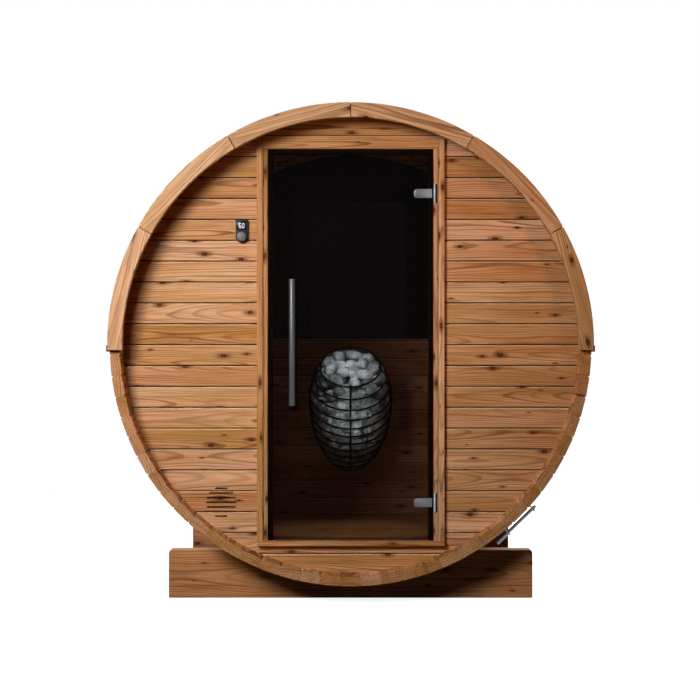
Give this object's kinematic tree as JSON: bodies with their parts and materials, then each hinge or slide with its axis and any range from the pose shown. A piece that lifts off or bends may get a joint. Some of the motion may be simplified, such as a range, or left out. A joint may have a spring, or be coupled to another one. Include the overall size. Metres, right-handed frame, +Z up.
{
  "type": "barrel sauna",
  "caption": "Lying barrel sauna of tongue-and-groove staves on cradle beams, with a tinted glass door, a half-moon rear window and a basket heater with stones.",
  "frame": {"origin": "on the ground, under the middle of the barrel", "axes": "+X to the right as seen from the front, +Y from the door towards the rear window along the barrel, +Z up"},
  "size_m": [2.028, 1.88, 2.091],
  "materials": {
    "stave_wood": "planed, heat-treated",
    "wall_wood": "planed, heat-treated",
    "frame_wood": "planed, heat-treated",
    "fascia_wood": "planed, heat-treated",
    "cradle_wood": "planed, heat-treated",
    "floor_wood": "planed, heat-treated",
    "grip_wood": "oiled",
    "door_glass": "tinted",
    "window_glass": "dark tinted",
    "handle_steel": "brushed",
    "hinge_steel": "brushed",
    "band_steel": "galvanised",
    "roof_sheet": "matt black membrane",
    "drip_edge": "matt black",
    "heater_wire": "heat-proof black",
    "heater_stone": "rough",
    "panel_plastic": "satin black",
    "knob_metal": "satin"
  },
  "bodies": {
    "sauna": {"staves_top": "stave_wood", "staves_upper_left": "stave_wood", "staves_left": "stave_wood", "staves_lower_left": "stave_wood", "staves_bottom": "stave_wood", "staves_lower_right": "stave_wood", "staves_right": "stave_wood", "staves_upper_right": "stave_wood", "front_wall_left": "wall_wood", "front_wall_right": "wall_wood", "front_wall_top": "wall_wood", "front_wall_bottom": "wall_wood", "rear_wall": "wall_wood", "rear_window_glass": "window_glass", "rear_window_beads": "frame_wood", "floor": "floor_wood", "door_jamb_left": "frame_wood", "door_jamb_right": "frame_wood", "door_head": "frame_wood", "door_sill": "frame_wood", "door_stops": "frame_wood", "door_hinge_brackets": "hinge_steel", "front_fascia_left": "fascia_wood", "front_fascia_right": "fascia_wood", "rear_fascia_left": "fascia_wood", "rear_fascia_right": "fascia_wood", "roof_covering": "roof_sheet", "roof_drip_edge_left": "drip_edge", "roof_drip_edge_right": "drip_edge", "front_cradle": "cradle_wood", "rear_cradle": "cradle_wood", "front_tension_band": "band_steel", "rear_tension_band": "band_steel", "front_tensioner": "band_steel", "rear_tensioner": "band_steel", "heater_rings": "heater_wire", "heater_ribs": "heater_wire", "heater_stones": "heater_stone", "heater_bracket": "heater_wire", "control_panel": "panel_plastic"},
    "door": {"door_glass": "door_glass", "door_handle": "handle_steel", "door_inner_grip": "grip_wood", "door_hinge_clamps": "hinge_steel"},
    "knob": {"control_knob": "knob_metal"}
  },
  "joints": [
    {"name": "door_swing", "type": "hinge", "parent": "sauna", "child": "door", "pos_m": [0.353, -0.803, 1.086], "axis": [0, 0, 1], "range_deg": [0, 105]},
    {"name": "knob_turn", "type": "hinge", "parent": "sauna", "child": "knob", "pos_m": [-0.458, -0.805, 1.5415], "axis": [0, 1, 0], "continuous": true}
  ]
}
